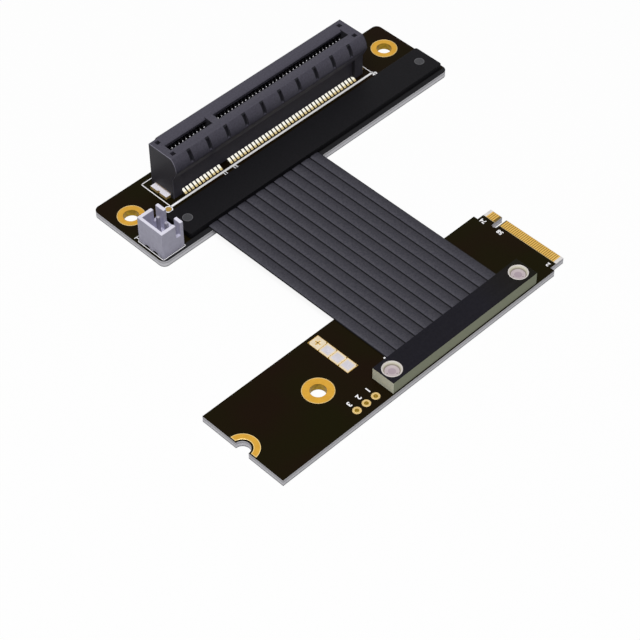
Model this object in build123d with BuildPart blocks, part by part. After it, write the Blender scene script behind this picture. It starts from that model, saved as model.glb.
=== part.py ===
from build123d import *
import os

# A short shielded extension: a plug board and a card slot board joined by flat parallel strips.
# Millimetres, +Z up. The origin is at the middle of the boards' common outline, on the table.

os.makedirs("parts", exist_ok=True)

# Boards
board_thickness = 1.6
plating = 0.05
m2_length = 80.0
m2_width = 22.0
tongue_length = 4.0
tongue_width = 19.85
slot_board_length = 84.2
slot_board_width = 22.0
slot_board_corner = 1.4
board_gap = 35.25

# Plug end of the plug board
bare_length = 2.25
finger_length = 2.1
finger_width = 0.35
finger_pitch = 0.5
finger_tip_margin = 0.1
key_offset = 6.125
key_width = 1.2
key_depth = 3.5
fingers_past_key_top = 4
fingers_past_key_bottom = 5
fingers_before_key = 29
key_to_finger_past_top = 1.375
key_to_finger_past_bottom = 1.125
key_to_finger_before_top = 1.125
key_to_finger_before_bottom = 1.375

# Holes and pads of the plug board
screw_bore = 1.7
screw_ring = 3.3
screw_from_tip = 60.0
end_bore = 1.75
end_ring = 3.0
end_ring_inset = 0.2
small_bore = 0.5
small_ring = 0.92
small_pitch = 2.54
small_count = 3
small_sides = 20
small_from_tip = 55.74
small_from_front = 2.26
strip_pad_length = 2.87
strip_pad_width = 11.1
strip_pad_from_tip = 51.45
strip_pad_offset = 4.65

# Flat strips
ribbon_count = 12
ribbon_pitch = 2.645
ribbon_width = 2.57
ribbon_thickness = 0.35
ribbon_crown = 0.08
ribbon_from_tip = 28.96
ribbon_from_board_left = 29.29
ribbon_under_bar = 2.0
ribbon_under_cover = 2.2
ribbon_clearance = 0.1

# Wire ends under the bar and the cover
wire_width = 0.4
wire_height = 0.25
wire_length = 1.5
wire_spacing = 1.3
wires_per_ribbon = 2
solder_pad_width = 0.8
solder_pad_length = 1.7

# Clamp bar and its rivets
bar_depth = 5.62
bar_height = 3.05
bar_ear = 4.77
bar_shift = -0.89
bar_from_edge = 0.25
pocket_end_wall = 1.45
rivet_inset = 2.5
rivet_radius = 2.1
rivet_head_height = 1.3
rivet_shank_radius = 1.2
rivet_rim = 0.3
rivet_dish_depth = 0.75
rivet_dish_radius = 1.1
rivet_clearance = 0.02

# Screw holes of the slot board
board_screw_bore = 1.7
board_screw_ring = 3.0
board_screw_from_left = 4.45
board_screw_from_right = 4.75
board_screw_from_back = 6.95

# Cover plate and its studs
cover_depth = 7.8
cover_height = 1.5
cover_corner = 0.5
cover_from_left = 8.49
cover_from_right = 0.81
cover_from_front = 1.18
cover_pocket_wall = 3.0
stud_inset = 2.9
stud_setback = 4.05
stud_radius = 1.12
stud_clearance = 0.02

# Card slot
slot_from_left = 13.9
slot_from_front = 15.8
slot_height = 11.25
slot_end = 3.0
slot_half_top_near = 3.45
slot_half_top_far = 3.7
slot_half_shoulder = 4.8
slot_half_post = 3.45
slot_half_wall = 2.65
shoulder_height = 8.2
shoulder_upper = (4.42, 9.95)
shoulder_lower = (4.5, 7.4)
wall_height = 5.4
post_length = 2.45
wall_standoff = 0.25
step_length = 2.4
step_depth = 0.3
contact_pitch = 1.0
contacts_before_key = 11
contacts_after_key = 38
key_gap = 3.0
key_rib = 1.75
slit_width = 1.85
slit_lead_in = 0.42
slit_before_contacts = 1.1
slit_after_contacts = 0.65
lip_height = 1.05
chamber_half = 2.1
chamber_slope = 0.6
leg_channel_half = 1.3
slit_floor = 3.0
groove_count = 10
groove_pitch = 5.17
groove_first = 4.65
groove_width = 0.85
groove_depth = 0.4
groove_from_top = 0.3
groove_end_height = 8.4
corner_pit = 1.0
corner_pit_depth = 1.2
corner_pit_inset = 1.55
corner_pit_offset = 2.33

# Contacts of the card slot
contact_width = 0.52
contact_sheet = 0.2
contact_reach = 4.2
contact_knee_height = 6.5
contact_crest_height = 8.95
contact_crest_half = 0.77
contact_tip_height = 9.6
contact_tip_half = 1.15

# Hold-down clips of the card slot
clip_width = 4.95
clip_sheet = 0.7
clip_reach = 1.2
clip_leg_setback = 0.65
clip_leg_sheet = 0.35
clip_leg_height = 2.6
clip_notch = 0.35
clip_opening_height = 1.25

# Power header
header_width = 5.75
header_length = 7.5
header_height = 6.9
header_from_left = 0.7
header_from_front = 0.8
header_floor = 1.5
header_long_wall = 0.7
header_end_wall = 0.8
header_open_wall = 0.8
header_sill_height = 3.5
header_gap_width = 3.1
header_gap_from_end = 1.95
header_end_slot = 1.17
header_foot_notch = 1.25
header_foot_notch_height = 0.5
pin_side = 0.64
pin_pitch = 2.5
pin_count = 2
pin_height = 6.4
pin_taper = 0.15
pin_from_open_face = 2.3
pin_clearance = 0.1

# Small round pad beside the header
corner_pad_radius = 0.66
corner_pad_from_left = 11.12
corner_pad_from_front = 10.94

# Places worked out from the sizes above
slot_board_shift = m2_length - ribbon_from_tip - ribbon_from_board_left
span_x = max(m2_length, slot_board_shift + slot_board_length)
span_y = m2_width + board_gap + slot_board_width
m2_left = -span_x / 2
m2_right = m2_left + m2_length
m2_middle = (m2_width - span_y) / 2
slot_left = m2_left + slot_board_shift
slot_front = span_y / 2 - slot_board_width
slot_back = span_y / 2
board_top = board_thickness

screw_x = m2_right - screw_from_tip
small_y = m2_middle - m2_width / 2 + small_from_front
small_middle_x = m2_right - small_from_tip
pad_strip_x = m2_right - strip_pad_from_tip
pad_strip_y = m2_middle + strip_pad_offset
key_y = m2_middle + key_offset

ribbon_x = m2_right - ribbon_from_tip
ribbon_band = (ribbon_count - 1) * ribbon_pitch + ribbon_width
pocket_width = ribbon_band + 2 * ribbon_clearance
pocket_height = ribbon_thickness + ribbon_clearance
bar_length = ribbon_band + 2 * bar_ear
bar_x = ribbon_x + bar_shift
bar_front = m2_middle - m2_width / 2 + bar_from_edge
bar_back = bar_front + bar_depth
bar_y = bar_front + bar_depth / 2
rivet_spacing = bar_length - 2 * rivet_inset
cover_left = slot_left + cover_from_left
cover_length = slot_board_length - cover_from_left - cover_from_right
cover_front = slot_front + cover_from_front
cover_x = cover_left + cover_length / 2
cover_y = cover_front + cover_depth / 2
stud_y = cover_front + stud_setback
stud_spacing = cover_length - 2 * stud_inset
ribbon_start = bar_back - ribbon_under_bar
ribbon_end = cover_front + ribbon_under_cover

board_screw_spacing = slot_board_length - board_screw_from_left - board_screw_from_right
board_screw_x = slot_left + board_screw_from_left + board_screw_spacing / 2
board_screw_y = slot_back - board_screw_from_back

contact_span = (contacts_before_key + contacts_after_key - 2) * contact_pitch + key_gap
housing_length = contact_span + 2 * slot_end
housing_left = slot_left + slot_from_left
housing_right = housing_left + housing_length
housing_x = (housing_left + housing_right) / 2
housing_y = slot_front + slot_from_front
first_contact = housing_left + slot_end
last_before_key = first_contact + (contacts_before_key - 1) * contact_pitch
first_after_key = last_before_key + key_gap
last_contact = first_after_key + (contacts_after_key - 1) * contact_pitch
key_x = last_before_key + key_gap / 2
slit_left = first_contact - slit_before_contacts
slit_right = last_contact + slit_after_contacts
lip_bottom = slot_height - lip_height

header_left = slot_left + header_from_left
header_front = slot_front + header_from_front
header_x = header_left + header_width / 2
header_y = header_front + header_length / 2
pin_x = header_left + header_width - pin_from_open_face


def middle_points(count, pitch):
    """Places of a centred row, from its first to its last."""
    return [(i - (count - 1) / 2) * pitch for i in range(count)]


ribbon_places = [ribbon_x + shift for shift in middle_points(ribbon_count, ribbon_pitch)]
wire_places = [x + shift for x in ribbon_places for shift in middle_points(wires_per_ribbon, wire_spacing)]
contact_places = [first_contact + i * contact_pitch for i in range(contacts_before_key)]
contact_places += [first_after_key + i * contact_pitch for i in range(contacts_after_key)]
rivet_places = [(bar_x + shift, bar_y) for shift in middle_points(2, rivet_spacing)]
stud_places = [(cover_x + shift, stud_y) for shift in middle_points(2, stud_spacing)]
board_screw_places = [(board_screw_x + shift, board_screw_y) for shift in middle_points(2, board_screw_spacing)]
small_places = [(small_middle_x + shift, small_y) for shift in middle_points(small_count, small_pitch)]
pin_places = [(pin_x, header_y + shift) for shift in middle_points(pin_count, pin_pitch)]

fingers_top = [key_y + key_to_finger_past_top + i * finger_pitch for i in range(fingers_past_key_top)]
fingers_top += [key_y - key_to_finger_before_top - i * finger_pitch for i in range(fingers_before_key)]
fingers_bottom = [key_y + key_to_finger_past_bottom + i * finger_pitch for i in range(fingers_past_key_bottom)]
fingers_bottom += [key_y - key_to_finger_before_bottom - i * finger_pitch for i in range(fingers_before_key)]


def cut_ringed_hole(places, bore, ring):
    """A hole through the board, with a shallow seat around it for a copper ring in the upper face."""
    with Locations(*[(x, y, board_top) for x, y in places]):
        CounterBoreHole(bore, ring, plating)


# Plug board: body, narrower tongue, key notch, half-round end notch and plated holes
with BuildPart() as m2_board:
    with BuildSketch():
        with Locations((m2_left + (m2_length - tongue_length) / 2, m2_middle)):
            Rectangle(m2_length - tongue_length, m2_width)
        with Locations((m2_right - tongue_length / 2, m2_middle)):
            Rectangle(tongue_length, tongue_width)
        with Locations((m2_right - key_depth / 2, key_y)):
            Rectangle(key_depth, key_width, mode=Mode.SUBTRACT)
    extrude(amount=board_thickness)
    key_end = m2_board.edges().filter_by(Axis.Z).filter_by_position(
        Axis.X, m2_right - key_depth - plating, m2_right - key_depth + plating
    )
    fillet(key_end, key_width / 2 - plating)
    with Locations((m2_right, m2_middle, 0), (m2_right, m2_middle, board_top - plating)):
        Box(
            bare_length, tongue_width, plating,
            align=(Align.MAX, Align.CENTER, Align.MIN), mode=Mode.SUBTRACT,
        )
    cut_ringed_hole([(screw_x, m2_middle)], screw_bore, screw_ring)
    cut_ringed_hole([(m2_left, m2_middle)], end_bore, end_ring)
    with BuildSketch(Plane.XY.offset(board_top)):
        with Locations(*small_places):
            RegularPolygon(small_bore, small_sides)
    extrude(amount=-board_thickness, mode=Mode.SUBTRACT)
    with BuildSketch(Plane.XY.offset(board_top)):
        with Locations(*small_places):
            RegularPolygon(small_ring, small_sides)
    extrude(amount=-plating, mode=Mode.SUBTRACT)
    with Locations(*rivet_places):
        Hole(rivet_shank_radius + rivet_clearance)
m2_board.part.label = "m2_board"
export_step(m2_board.part, "parts/m2_board.step")

# Gold fingers, level with the faces of the board
finger_x = m2_right - finger_tip_margin - finger_length / 2
for node, places, height in (
    ("m2_fingers_top", fingers_top, board_top - plating),
    ("m2_fingers_bottom", fingers_bottom, 0),
):
    with BuildPart() as fingers:
        with BuildSketch(Plane.XY.offset(height)):
            with Locations(*[(finger_x, y) for y in places]):
                Rectangle(finger_length, finger_width)
        extrude(amount=plating)
    fingers.part.label = node
    export_step(fingers.part, f"parts/{node}.step")

# Copper rings around the plug board's holes, level with its upper face
with BuildPart() as m2_hole_ring:
    with BuildSketch(Plane.XY.offset(board_top - plating)):
        with Locations((screw_x, m2_middle)):
            Circle(screw_ring)
            Circle(screw_bore, mode=Mode.SUBTRACT)
    extrude(amount=plating)
m2_hole_ring.part.label = "m2_hole_ring"
export_step(m2_hole_ring.part, "parts/m2_hole_ring.step")

with BuildPart() as m2_end_ring:
    with BuildSketch(Plane.XY.offset(board_top - plating)):
        with Locations((m2_left, m2_middle)):
            Circle(end_ring)
            Circle(end_bore + end_ring_inset, mode=Mode.SUBTRACT)
            Rectangle(end_ring, 2 * end_ring, align=(Align.MAX, Align.CENTER), mode=Mode.SUBTRACT)
    extrude(amount=plating)
m2_end_ring.part.label = "m2_end_ring"
export_step(m2_end_ring.part, "parts/m2_end_ring.step")

with BuildPart() as m2_small_rings:
    with BuildSketch(Plane.XY.offset(board_top)):
        with Locations(*small_places):
            RegularPolygon(small_ring, small_sides)
            RegularPolygon(small_bore, small_sides, mode=Mode.SUBTRACT)
    extrude(amount=-plating)
m2_small_rings.part.label = "m2_small_rings"
export_step(m2_small_rings.part, "parts/m2_small_rings.step")

# Long gold pad on the plug board
with BuildPart() as m2_pad_strip:
    with BuildSketch(Plane.XY.offset(board_top)):
        with Locations((pad_strip_x, pad_strip_y)):
            Rectangle(strip_pad_length, strip_pad_width)
    extrude(amount=plating)
m2_pad_strip.part.label = "m2_pad_strip"
export_step(m2_pad_strip.part, "parts/m2_pad_strip.step")

# Slot board with rounded corners and its holes
with BuildPart() as slot_board:
    with BuildSketch():
        with Locations((slot_left + slot_board_length / 2, slot_front + slot_board_width / 2)):
            RectangleRounded(slot_board_length, slot_board_width, slot_board_corner)
    extrude(amount=board_thickness)
    cut_ringed_hole(board_screw_places, board_screw_bore, board_screw_ring)
    with Locations(*stud_places):
        Hole(stud_radius + stud_clearance)
    with BuildSketch():
        with Locations(*pin_places):
            Rectangle(pin_side + 2 * pin_clearance, pin_side + 2 * pin_clearance)
    extrude(amount=board_thickness, mode=Mode.SUBTRACT)
slot_board.part.label = "slot_board"
export_step(slot_board.part, "parts/slot_board.step")

with BuildPart() as slot_board_rings:
    with BuildSketch(Plane.XY.offset(board_top - plating)):
        with Locations(*board_screw_places):
            Circle(board_screw_ring)
            Circle(board_screw_bore, mode=Mode.SUBTRACT)
    extrude(amount=plating)
slot_board_rings.part.label = "slot_board_rings"
export_step(slot_board_rings.part, "parts/slot_board_rings.step")

# Flat strips, each with a low crown, lying on both boards
for i, x in enumerate(ribbon_places):
    with BuildPart() as ribbon:
        with BuildSketch(Plane.XZ.offset(-ribbon_start)):
            with BuildLine():
                left, right = x - ribbon_width / 2, x + ribbon_width / 2
                side_top = board_top + ribbon_thickness - ribbon_crown
                Line((left, side_top), (left, board_top))
                Line((left, board_top), (right, board_top))
                Line((right, board_top), (right, side_top))
                ThreePointArc((right, side_top), (x, board_top + ribbon_thickness), (left, side_top))
            make_face()
        extrude(amount=ribbon_start - ribbon_end)
    ribbon.part.label = f"ribbon_{i + 1:02d}"
    export_step(ribbon.part, f"parts/ribbon_{i + 1:02d}.step")

# Solder pads and bare wire ends at both ends of the strips
for end, edge, away in (("m2", ribbon_start, -1), ("slot", ribbon_end, 1)):
    with BuildPart() as pads:
        with BuildSketch(Plane.XY.offset(board_top)):
            with Locations(*[(x, edge + away * solder_pad_length / 2) for x in wire_places]):
                Rectangle(solder_pad_width, solder_pad_length)
        extrude(amount=plating)
    pads.part.label = f"solder_pads_{end}"
    export_step(pads.part, f"parts/solder_pads_{end}.step")
    with BuildPart() as wires:
        with BuildSketch(Plane.XY.offset(board_top + plating)):
            with Locations(*[(x, edge + away * wire_length / 2) for x in wire_places]):
                Rectangle(wire_width, wire_length)
        extrude(amount=wire_height)
    wires.part.label = f"wire_ends_{end}"
    export_step(wires.part, f"parts/wire_ends_{end}.step")

# Clamp bar with a pocket under it for the strips' ends and a stepped hole for each rivet
with BuildPart() as clamp_bar:
    with Locations((bar_x, bar_y, board_top)):
        Box(bar_length, bar_depth, bar_height, align=(Align.CENTER, Align.CENTER, Align.MIN))
    with Locations((ribbon_x, bar_back, board_top)):
        Box(
            pocket_width, bar_depth - pocket_end_wall, pocket_height,
            align=(Align.CENTER, Align.MAX, Align.MIN), mode=Mode.SUBTRACT,
        )
    with Locations(*[(x, y, board_top + bar_height) for x, y in rivet_places]):
        CounterBoreHole(rivet_shank_radius + rivet_clearance, rivet_radius + rivet_clearance, rivet_head_height)
clamp_bar.part.label = "clamp_bar"
export_step(clamp_bar.part, "parts/clamp_bar.step")

# Nylon rivets: a dished head in the bar, and a shank through both the bar and the board
rivet_top = board_top + bar_height
with BuildPart() as rivet:
    with BuildSketch(Plane.XZ):
        with BuildLine():
            Polyline(
                (0, 0),
                (rivet_shank_radius, 0),
                (rivet_shank_radius, rivet_top - rivet_head_height),
                (rivet_radius, rivet_top - rivet_head_height),
                (rivet_radius, rivet_top),
                (rivet_radius - rivet_rim, rivet_top),
                (rivet_dish_radius, rivet_top - rivet_dish_depth),
                (0, rivet_top - rivet_dish_depth),
                close=True,
            )
        make_face()
    revolve(axis=Axis.Z)
with BuildPart() as clamp_rivets:
    with Locations(*rivet_places):
        add(rivet.part)
clamp_rivets.part.label = "clamp_rivets"
export_step(clamp_rivets.part, "parts/clamp_rivets.step")

# Cover plate with a pocket for the strips' ends and a hole for each stud
with BuildPart() as cover_plate:
    with BuildSketch(Plane.XY.offset(board_top)):
        with Locations((cover_x, cover_y)):
            RectangleRounded(cover_length, cover_depth, cover_corner)
    extrude(amount=cover_height)
    with Locations((ribbon_x, cover_front, board_top)):
        Box(
            pocket_width, cover_depth - cover_pocket_wall, pocket_height,
            align=(Align.CENTER, Align.MIN, Align.MIN), mode=Mode.SUBTRACT,
        )
    with Locations(*stud_places):
        Hole(stud_radius + stud_clearance)
cover_plate.part.label = "cover_plate"
export_step(cover_plate.part, "parts/cover_plate.step")

# Studs: round pegs through the cover and the board, level with both
with BuildPart() as cover_studs:
    with BuildSketch():
        with Locations(*stud_places):
            Circle(stud_radius)
    extrude(amount=board_top + cover_height)
cover_studs.part.label = "cover_studs"
export_step(cover_studs.part, "parts/cover_studs.step")


def half_section(side, half_top):
    """Half of the housing's outline: from the middle of its foot out, round the shoulder and back in."""
    upper_half, upper_height = shoulder_upper
    lower_half, lower_height = shoulder_lower
    Polyline(
        (0, 0),
        (side * slot_half_post, 0),
        (side * slot_half_post, wall_height),
        (side * lower_half, lower_height),
        (side * slot_half_shoulder, shoulder_height),
    )
    ThreePointArc(
        (side * slot_half_shoulder, shoulder_height),
        (side * upper_half, upper_height),
        (side * half_top, slot_height),
    )
    Line((side * half_top, slot_height), (0, slot_height))


def section_plane(x):
    """The plane across the card slot at x, where a sketch's y is the height above the board."""
    return Plane(origin=(x, housing_y, board_top), x_dir=(0, 1, 0), z_dir=(1, 0, 0))


# What is cut away for one pair of grooves: it starts below the top edge and ends at the widest place
with BuildPart() as groove_pair:
    groove_top = slot_height - groove_from_top
    with BuildSketch(section_plane(-groove_width / 2)):
        for side in (-1, 1):
            with BuildLine():
                Polyline(
                    (side * slot_half_top_near, groove_top),
                    (side * (slot_half_shoulder - groove_depth), groove_end_height),
                    (side * (slot_half_shoulder + groove_depth), groove_end_height),
                    (side * (slot_half_shoulder + groove_depth), groove_top),
                    close=True,
                )
            make_face()
    extrude(amount=groove_width)

# Card slot housing
slit_half = slit_width / 2
with BuildPart() as slot_housing:
    with BuildSketch(section_plane(housing_left)):
        with BuildLine():
            half_section(-1, slot_half_top_near)
            half_section(1, slot_half_top_far)
        make_face()
    extrude(amount=housing_length)
    # The lower walls are set back between the end posts and stand clear of the solder tails
    wall_length = housing_length - 2 * post_length
    for side, outward in ((-1, Align.MAX), (1, Align.MIN)):
        with Locations((housing_x, housing_y + side * slot_half_wall, board_top)):
            Box(
                wall_length, slot_half_shoulder, wall_height,
                align=(Align.CENTER, outward, Align.MIN), mode=Mode.SUBTRACT,
            )
    with Locations((housing_x, housing_y, board_top)):
        Box(
            wall_length, 2 * slot_half_shoulder, wall_standoff,
            align=(Align.CENTER, Align.CENTER, Align.MIN), mode=Mode.SUBTRACT,
        )
    # The far top corner at the left end is stepped back
    with Locations((housing_left, housing_y + slot_half_top_far - step_depth, board_top)):
        Box(
            step_length, slot_half_shoulder, slot_height,
            align=(Align.MIN, Align.MIN, Align.MIN), mode=Mode.SUBTRACT,
        )
    # Slit for the card, with the contact chambers under its lips, in two lengths beside the key rib
    for left, right in ((slit_left, key_x - key_rib / 2), (key_x + key_rib / 2, slit_right)):
        with BuildSketch(section_plane(left)):
            for side in (-1, 1):
                with BuildLine():
                    Polyline(
                        (0, slot_height),
                        (side * (slit_half + slit_lead_in), slot_height),
                        (side * slit_half, slot_height - slit_lead_in),
                        (side * slit_half, lip_bottom),
                        (side * (chamber_half - chamber_slope), lip_bottom),
                        (side * chamber_half, lip_bottom - chamber_slope),
                        (side * chamber_half, 0),
                        (side * leg_channel_half, 0),
                        (side * leg_channel_half, slit_floor),
                        (0, slit_floor),
                        close=True,
                    )
                make_face()
        extrude(amount=right - left, mode=Mode.SUBTRACT)
    # Grooves down both shoulders
    with Locations(*[(housing_left + groove_first + i * groove_pitch, 0, 0) for i in range(groove_count)]):
        add(groove_pair.part, mode=Mode.SUBTRACT)
    # Small square pits beside the ends of the slit
    pit_x = housing_length / 2 - corner_pit_inset
    pit_top = board_top + slot_height
    with Locations(*[
        (housing_x + across * pit_x, housing_y + along * corner_pit_offset, pit_top)
        for across in (-1, 1) for along in (-1, 1)
    ]):
        Box(
            corner_pit, corner_pit, corner_pit_depth,
            align=(Align.CENTER, Align.CENTER, Align.MAX), mode=Mode.SUBTRACT,
        )
    # Seats for the hold-down clips in the feet of both ends
    for end_x, inward in ((housing_left, 1), (housing_right, -1)):
        seat_depth = clip_leg_setback
        with Locations((end_x + inward * seat_depth / 2, housing_y, board_top)):
            Box(
                seat_depth, clip_width, clip_opening_height,
                align=(Align.CENTER, Align.CENTER, Align.MIN), mode=Mode.SUBTRACT,
            )
        with Locations((end_x + inward * (seat_depth - clip_leg_sheet / 2), housing_y, board_top)):
            Box(
                clip_leg_sheet, clip_width, clip_leg_height,
                align=(Align.CENTER, Align.CENTER, Align.MIN), mode=Mode.SUBTRACT,
            )
slot_housing.part.label = "slot_housing"
export_step(slot_housing.part, "parts/slot_housing.step")

# Contacts: a solder tail, a straight leg against the chamber wall and a spring that bows into the slit
leg_inner = chamber_half - contact_sheet
for node, side in (("slot_contacts_front", -1), ("slot_contacts_back", 1)):
    with BuildPart() as contact:
        with BuildSketch(section_plane(-contact_width / 2)):
            with BuildLine():
                Polyline(
                    (side * contact_reach, 0),
                    (side * contact_reach, contact_sheet),
                    (side * chamber_half, contact_sheet),
                    (side * chamber_half, contact_knee_height),
                    (side * (contact_crest_half + contact_sheet), contact_crest_height),
                    (side * contact_tip_half, contact_tip_height),
                    (side * contact_crest_half, contact_crest_height),
                    (side * leg_inner, contact_knee_height),
                    (side * leg_inner, 0),
                    close=True,
                )
            make_face()
        extrude(amount=contact_width)
    with BuildPart() as contacts:
        with Locations(*[(x, 0, 0) for x in contact_places]):
            add(contact.part)
    contacts.part.label = node
    export_step(contacts.part, f"parts/{node}.step")

# Hold-down clips: a foot on the board, notched at its edge, and a leg up into the housing
with BuildPart() as slot_hold_downs:
    for end_x, inward in ((housing_left, 1), (housing_right, -1)):
        foot = clip_reach + clip_leg_setback
        with BuildSketch(Plane.XY.offset(board_top)):
            with Locations((end_x + inward * (clip_leg_setback - foot / 2), housing_y)):
                Rectangle(foot, clip_width)
            with Locations((end_x - inward * clip_reach, housing_y)):
                Circle(clip_notch, mode=Mode.SUBTRACT)
        extrude(amount=clip_sheet)
        with BuildSketch(Plane.XY.offset(board_top)):
            with Locations((end_x + inward * (clip_leg_setback - clip_leg_sheet / 2), housing_y)):
                Rectangle(clip_leg_sheet, clip_width)
        extrude(amount=clip_leg_height)
slot_hold_downs.part.label = "slot_hold_downs"
export_step(slot_hold_downs.part, "parts/slot_hold_downs.step")

# Power header housing: an open box with a gapped wall, slotted ends and two foot notches
with BuildPart() as header_housing:
    with Locations((header_x, header_y, board_top)):
        Box(header_width, header_length, header_height, align=(Align.CENTER, Align.CENTER, Align.MIN))
    inner_width = header_width - header_long_wall - header_open_wall
    inner_length = header_length - 2 * header_end_wall
    inner_right = header_left + header_width - header_open_wall
    with Locations((inner_right, header_y, board_top + header_floor)):
        Box(
            inner_width, inner_length, header_height - header_floor,
            align=(Align.MAX, Align.CENTER, Align.MIN), mode=Mode.SUBTRACT,
        )
    with Locations((inner_right, header_y, board_top + header_sill_height)):
        Box(
            header_end_slot, header_length, header_height - header_sill_height,
            align=(Align.MAX, Align.CENTER, Align.MIN), mode=Mode.SUBTRACT,
        )
    with Locations((inner_right, header_front + header_gap_from_end, board_top + header_sill_height)):
        Box(
            header_open_wall, header_gap_width, header_height - header_sill_height,
            align=(Align.MIN, Align.MIN, Align.MIN), mode=Mode.SUBTRACT,
        )
    with Locations(*[(header_left, y, board_top) for x, y in pin_places]):
        Box(
            header_long_wall, header_foot_notch, header_foot_notch_height,
            align=(Align.MIN, Align.CENTER, Align.MIN), mode=Mode.SUBTRACT,
        )
    with Locations(*[(x, y, board_top) for x, y in pin_places]):
        Box(
            pin_side, pin_side, header_floor,
            align=(Align.CENTER, Align.CENTER, Align.MIN), mode=Mode.SUBTRACT,
        )
header_housing.part.label = "header_housing"
export_step(header_housing.part, "parts/header_housing.step")

# Header pins: square, tapered at the top, ending level with the underside of the board
with BuildPart() as header_pins:
    with BuildSketch():
        with Locations(*pin_places):
            Rectangle(pin_side, pin_side)
    extrude(amount=board_top + pin_height)
    chamfer(header_pins.faces().group_by(Axis.Z)[-1].edges(), pin_taper)
header_pins.part.label = "header_pins"
export_step(header_pins.part, "parts/header_pins.step")

# Small round pad
with BuildPart() as corner_pad:
    with BuildSketch(Plane.XY.offset(board_top)):
        with Locations((slot_left + corner_pad_from_left, slot_front + corner_pad_from_front)):
            Circle(corner_pad_radius)
    extrude(amount=plating)
corner_pad.part.label = "corner_pad"
export_step(corner_pad.part, "parts/corner_pad.step")
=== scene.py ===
# %% [markdown]
# # A short shielded extension for a card slot
# Two small circuit boards are joined by twelve flat shielded strips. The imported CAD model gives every
# solid its size and place. This script gives the solids their finishes, swaps some of them for pieces
# with softer edges, and adds the thin things that the CAD model leaves out: printed lines, solder,
# small marks and the grain of each surface.

# %% Load the fixed model
import math

import bmesh
import bpy
import numpy as np
from mathutils import Matrix, Vector


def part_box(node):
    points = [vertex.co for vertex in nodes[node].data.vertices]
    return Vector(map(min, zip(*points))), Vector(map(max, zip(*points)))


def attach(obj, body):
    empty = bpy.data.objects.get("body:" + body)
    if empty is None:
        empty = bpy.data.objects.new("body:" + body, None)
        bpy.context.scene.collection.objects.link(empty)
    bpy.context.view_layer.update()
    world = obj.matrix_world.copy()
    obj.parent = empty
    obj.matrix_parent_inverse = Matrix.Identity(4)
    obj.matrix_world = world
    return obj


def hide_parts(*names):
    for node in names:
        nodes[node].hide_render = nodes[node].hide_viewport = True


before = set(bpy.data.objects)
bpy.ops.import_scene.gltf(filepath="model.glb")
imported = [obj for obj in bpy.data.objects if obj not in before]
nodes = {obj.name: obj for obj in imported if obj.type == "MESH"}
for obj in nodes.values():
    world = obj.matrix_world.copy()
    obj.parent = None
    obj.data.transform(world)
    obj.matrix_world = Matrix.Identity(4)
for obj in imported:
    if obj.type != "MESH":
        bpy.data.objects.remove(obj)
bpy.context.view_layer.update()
MM = 0.001

# %% [markdown]
# ## Camera
# The photograph looks down on the object from its front left corner through a long lens, from nearly
# half a metre away. The camera is placed by its position, its viewing direction and a small roll, and
# nothing about it depends on the picture's size.

# %% Place the camera
camera_place = Vector((-219.42, -220.70, 312.64)) * MM
camera_forward = Vector((0.47235, 0.48487, -0.73606)).normalized()
camera_roll = math.radians(-0.589)
level_right = camera_forward.cross(Vector((0, 0, 1))).normalized()
level_up = level_right.cross(camera_forward)
camera_right = level_right * math.cos(camera_roll) + level_up * math.sin(camera_roll)
camera_up = level_up * math.cos(camera_roll) - level_right * math.sin(camera_roll)
camera = bpy.data.objects.new("camera", bpy.data.cameras.new("camera"))
camera.data.lens, camera.data.sensor_width = 120.49, 36.0
camera.data.clip_start, camera.data.clip_end = 0.01, 10.0
camera.matrix_world = Matrix.Translation(camera_place) @ Matrix(
    (camera_right, camera_up, -camera_forward)
).transposed().to_4x4()
bpy.context.scene.collection.objects.link(camera)
bpy.context.scene.camera = camera
print("camera is", round(camera_place.length / MM), "mm from the origin")

# %% [markdown]
# ## Surfaces from numbers
# Every new shape below is a grid of points: one direction of the grid follows an outline, the other
# follows a path or a turn. Working out the whole grid as one array is quick, and the faces follow from
# the grid's row and column numbers, so no shape needs a loop over its points.

# %% A grid of points made into a mesh
def grid_faces(rows, columns, round_rows=False, round_columns=False):
    """Four-sided faces between neighbours of a grid; a round direction also joins its last to its first."""
    row, column = np.meshgrid(
        np.arange(rows if round_rows else rows - 1),
        np.arange(columns if round_columns else columns - 1), indexing="ij",
    )
    after_row, after_column = (row + 1) % rows, (column + 1) % columns
    corners = [row * columns + column, row * columns + after_column,
               after_row * columns + after_column, after_row * columns + column]
    return np.stack([c.ravel() for c in corners], axis=1)


def add_piece(name, points, faces, body="root"):
    """One piece from points in metres: points that meet, such as poles, are joined, and faces turn out."""
    mesh = bpy.data.meshes.new(name)
    mesh.from_pydata(np.asarray(points).reshape(-1, 3).tolist(), [], [list(f) for f in faces])
    shape = bmesh.new()
    shape.from_mesh(mesh)
    bmesh.ops.remove_doubles(shape, verts=shape.verts, dist=0.0001 * MM)
    bmesh.ops.recalc_face_normals(shape, faces=shape.faces)
    shape.to_mesh(mesh)
    shape.free()
    piece = bpy.data.objects.new(name, mesh)
    bpy.context.scene.collection.objects.link(piece)
    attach(piece, body)
    print(name, "has", len(mesh.polygons), "faces")
    return piece


# %% [markdown]
# ## Flat strips
# Each strip is a shielded flat lead: a few conductors side by side in foil, inside a thin dark jacket.
# A box would do for its shape, but the low crown and the rounded edges are what catch the light, so an
# outline with both is carried along a straight route. Twelve of them lie side by side with a hairline
# gap, go under the bar at one end and under the cover at the other.

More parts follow.
